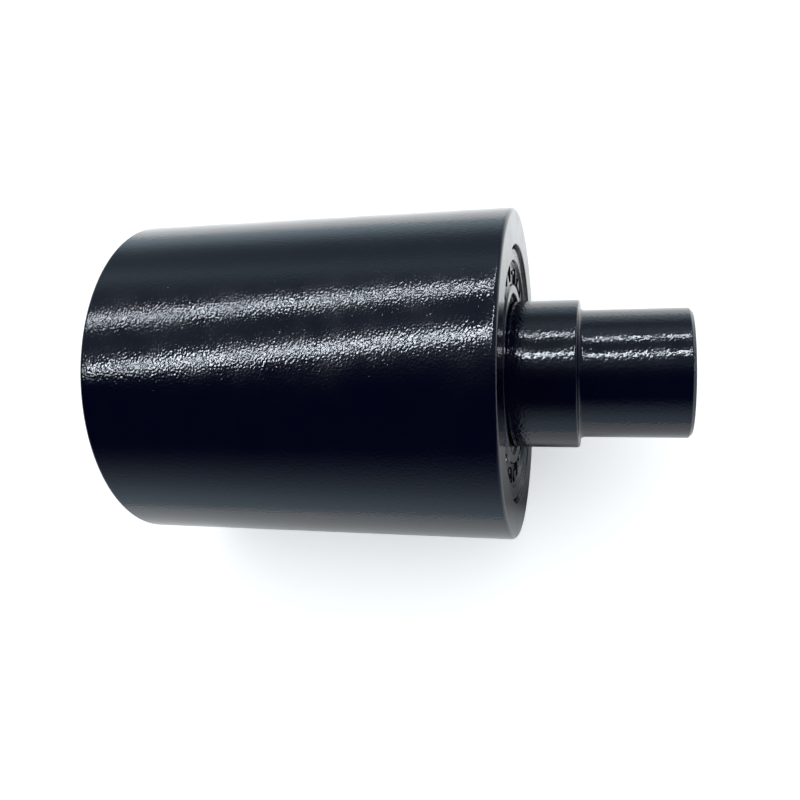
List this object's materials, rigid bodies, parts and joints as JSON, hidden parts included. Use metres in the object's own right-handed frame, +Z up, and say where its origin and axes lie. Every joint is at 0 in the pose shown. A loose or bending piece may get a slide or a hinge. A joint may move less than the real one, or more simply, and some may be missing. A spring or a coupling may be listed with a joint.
{
  "type": "carrier roller",
  "caption": "Plain steel drum on sealed ball bearings that turns on a stepped shaft held at one end, carrying the upper run of an excavator's track.",
  "frame": {"origin": "on the shaft's axis, in the plane of the shoulder between the collar and the stub, where the track frame's clamp stops", "axes": "+Y along the spin axis towards the stub's free end, +Z up, +X across the track"},
  "size_m": [0.079, 0.1335, 0.079],
  "materials": {
    "black_paint": "thick gloss enamel over machined and cast steel, with an orange-peel surface",
    "bearing_steel": "ground and polished bearing steel",
    "cage_steel": "pressed steel strip, satin",
    "turned_steel": "turned, oiled",
    "seal_iron": "hard chilled iron, lapped on the seal face",
    "spring_steel": "phosphated and oiled",
    "nitrile_rubber": "smooth moulded nitrile",
    "copper": "soft annealed copper"
  },
  "bodies": {
    "shaft": {"roller_shaft": "black_paint", "seal_collar": "black_paint", "shaft_o_ring": "nitrile_rubber", "static_seal_ring": "seal_iron", "static_toric_ring": "nitrile_rubber", "inboard_bearing_inner_race": "bearing_steel", "outboard_bearing_inner_race": "bearing_steel", "bearing_spacer": "turned_steel", "shaft_circlip": "spring_steel"},
    "roller": {"roller_shell": "black_paint", "seal_seat_ring": "turned_steel", "rotating_seal_ring": "seal_iron", "rotating_toric_ring": "nitrile_rubber", "inboard_bearing_outer_race": "bearing_steel", "outboard_bearing_outer_race": "bearing_steel", "inboard_bearing_circlip": "spring_steel", "end_cover": "black_paint", "cover_o_ring": "nitrile_rubber", "cover_circlip": "black_paint", "oil_plug": "black_paint", "plug_washer": "copper"},
    "inboard_cage": {"inboard_bearing_cage": "cage_steel"},
    "inboard_ball_1": {"inboard_bearing_ball_1": "bearing_steel"},
    "inboard_ball_2": {"inboard_bearing_ball_2": "bearing_steel"},
    "inboard_ball_3": {"inboard_bearing_ball_3": "bearing_steel"},
    "inboard_ball_4": {"inboard_bearing_ball_4": "bearing_steel"},
    "inboard_ball_5": {"inboard_bearing_ball_5": "bearing_steel"},
    "inboard_ball_6": {"inboard_bearing_ball_6": "bearing_steel"},
    "inboard_ball_7": {"inboard_bearing_ball_7": "bearing_steel"},
    "inboard_ball_8": {"inboard_bearing_ball_8": "bearing_steel"},
    "inboard_ball_9": {"inboard_bearing_ball_9": "bearing_steel"},
    "outboard_cage": {"outboard_bearing_cage": "cage_steel"},
    "outboard_ball_1": {"outboard_bearing_ball_1": "bearing_steel"},
    "outboard_ball_2": {"outboard_bearing_ball_2": "bearing_steel"},
    "outboard_ball_3": {"outboard_bearing_ball_3": "bearing_steel"},
    "outboard_ball_4": {"outboard_bearing_ball_4": "bearing_steel"},
    "outboard_ball_5": {"outboard_bearing_ball_5": "bearing_steel"},
    "outboard_ball_6": {"outboard_bearing_ball_6": "bearing_steel"},
    "outboard_ball_7": {"outboard_bearing_ball_7": "bearing_steel"},
    "outboard_ball_8": {"outboard_bearing_ball_8": "bearing_steel"},
    "outboard_ball_9": {"outboard_bearing_ball_9": "bearing_steel"}
  },
  "joints": [
    {"name": "roller_spin", "type": "hinge", "parent": "shaft", "child": "roller", "pos_m": [0, -0.0615, 0], "axis": [0, 1, 0], "continuous": true},
    {"name": "inboard_cage_turn", "type": "hinge", "parent": "shaft", "child": "inboard_cage", "pos_m": [0, -0.0475, 0], "axis": [0, 1, 0], "continuous": true},
    {"name": "inboard_ball_1_spin", "type": "hinge", "parent": "inboard_cage", "child": "inboard_ball_1", "pos_m": [0, -0.0475, 0.023], "axis": [0, 1, 0], "continuous": true},
    {"name": "inboard_ball_2_spin", "type": "hinge", "parent": "inboard_cage", "child": "inboard_ball_2", "pos_m": [0.01478, -0.0475, 0.01762], "axis": [0, 1, 0], "continuous": true},
    {"name": "inboard_ball_3_spin", "type": "hinge", "parent": "inboard_cage", "child": "inboard_ball_3", "pos_m": [0.02265, -0.0475, 0.00399], "axis": [0, 1, 0], "continuous": true},
    {"name": "inboard_ball_4_spin", "type": "hinge", "parent": "inboard_cage", "child": "inboard_ball_4", "pos_m": [0.01992, -0.0475, -0.0115], "axis": [0, 1, 0], "continuous": true},
    {"name": "inboard_ball_5_spin", "type": "hinge", "parent": "inboard_cage", "child": "inboard_ball_5", "pos_m": [0.00787, -0.0475, -0.02161], "axis": [0, 1, 0], "continuous": true},
    {"name": "inboard_ball_6_spin", "type": "hinge", "parent": "inboard_cage", "child": "inboard_ball_6", "pos_m": [-0.00787, -0.0475, -0.02161], "axis": [0, 1, 0], "continuous": true},
    {"name": "inboard_ball_7_spin", "type": "hinge", "parent": "inboard_cage", "child": "inboard_ball_7", "pos_m": [-0.01992, -0.0475, -0.0115], "axis": [0, 1, 0], "continuous": true},
    {"name": "inboard_ball_8_spin", "type": "hinge", "parent": "inboard_cage", "child": "inboard_ball_8", "pos_m": [-0.02265, -0.0475, 0.00399], "axis": [0, 1, 0], "continuous": true},
    {"name": "inboard_ball_9_spin", "type": "hinge", "parent": "inboard_cage", "child": "inboard_ball_9", "pos_m": [-0.01478, -0.0475, 0.01762], "axis": [0, 1, 0], "continuous": true},
    {"name": "outboard_cage_turn", "type": "hinge", "parent": "shaft", "child": "outboard_cage", "pos_m": [0, -0.0823, 0], "axis": [0, 1, 0], "continuous": true},
    {"name": "outboard_ball_1_spin", "type": "hinge", "parent": "outboard_cage", "child": "outboard_ball_1", "pos_m": [0, -0.0823, 0.023], "axis": [0, 1, 0], "continuous": true},
    {"name": "outboard_ball_2_spin", "type": "hinge", "parent": "outboard_cage", "child": "outboard_ball_2", "pos_m": [0.01478, -0.0823, 0.01762], "axis": [0, 1, 0], "continuous": true},
    {"name": "outboard_ball_3_spin", "type": "hinge", "parent": "outboard_cage", "child": "outboard_ball_3", "pos_m": [0.02265, -0.0823, 0.00399], "axis": [0, 1, 0], "continuous": true},
    {"name": "outboard_ball_4_spin", "type": "hinge", "parent": "outboard_cage", "child": "outboard_ball_4", "pos_m": [0.01992, -0.0823, -0.0115], "axis": [0, 1, 0], "continuous": true},
    {"name": "outboard_ball_5_spin", "type": "hinge", "parent": "outboard_cage", "child": "outboard_ball_5", "pos_m": [0.00787, -0.0823, -0.02161], "axis": [0, 1, 0], "continuous": true},
    {"name": "outboard_ball_6_spin", "type": "hinge", "parent": "outboard_cage", "child": "outboard_ball_6", "pos_m": [-0.00787, -0.0823, -0.02161], "axis": [0, 1, 0], "continuous": true},
    {"name": "outboard_ball_7_spin", "type": "hinge", "parent": "outboard_cage", "child": "outboard_ball_7", "pos_m": [-0.01992, -0.0823, -0.0115], "axis": [0, 1, 0], "continuous": true},
    {"name": "outboard_ball_8_spin", "type": "hinge", "parent": "outboard_cage", "child": "outboard_ball_8", "pos_m": [-0.02265, -0.0823, 0.00399], "axis": [0, 1, 0], "continuous": true},
    {"name": "outboard_ball_9_spin", "type": "hinge", "parent": "outboard_cage", "child": "outboard_ball_9", "pos_m": [-0.01478, -0.0823, 0.01762], "axis": [0, 1, 0], "continuous": true}
  ],
  "couplings": [
    {"joint": "inboard_cage_turn", "follows": "roller_spin", "ratio": 0.60353},
    {"joint": "inboard_ball_1_spin", "follows": "roller_spin", "ratio": 2.3112},
    {"joint": "inboard_ball_2_spin", "follows": "roller_spin", "ratio": 2.3112},
    {"joint": "inboard_ball_3_spin", "follows": "roller_spin", "ratio": 2.3112},
    {"joint": "inboard_ball_4_spin", "follows": "roller_spin", "ratio": 2.3112},
    {"joint": "inboard_ball_5_spin", "follows": "roller_spin", "ratio": 2.3112},
    {"joint": "inboard_ball_6_spin", "follows": "roller_spin", "ratio": 2.3112},
    {"joint": "inboard_ball_7_spin", "follows": "roller_spin", "ratio": 2.3112},
    {"joint": "inboard_ball_8_spin", "follows": "roller_spin", "ratio": 2.3112},
    {"joint": "inboard_ball_9_spin", "follows": "roller_spin", "ratio": 2.3112},
    {"joint": "outboard_cage_turn", "follows": "roller_spin", "ratio": 0.60353},
    {"joint": "outboard_ball_1_spin", "follows": "roller_spin", "ratio": 2.3112},
    {"joint": "outboard_ball_2_spin", "follows": "roller_spin", "ratio": 2.3112},
    {"joint": "outboard_ball_3_spin", "follows": "roller_spin", "ratio": 2.3112},
    {"joint": "outboard_ball_4_spin", "follows": "roller_spin", "ratio": 2.3112},
    {"joint": "outboard_ball_5_spin", "follows": "roller_spin", "ratio": 2.3112},
    {"joint": "outboard_ball_6_spin", "follows": "roller_spin", "ratio": 2.3112},
    {"joint": "outboard_ball_7_spin", "follows": "roller_spin", "ratio": 2.3112},
    {"joint": "outboard_ball_8_spin", "follows": "roller_spin", "ratio": 2.3112},
    {"joint": "outboard_ball_9_spin", "follows": "roller_spin", "ratio": 2.3112}
  ]
}
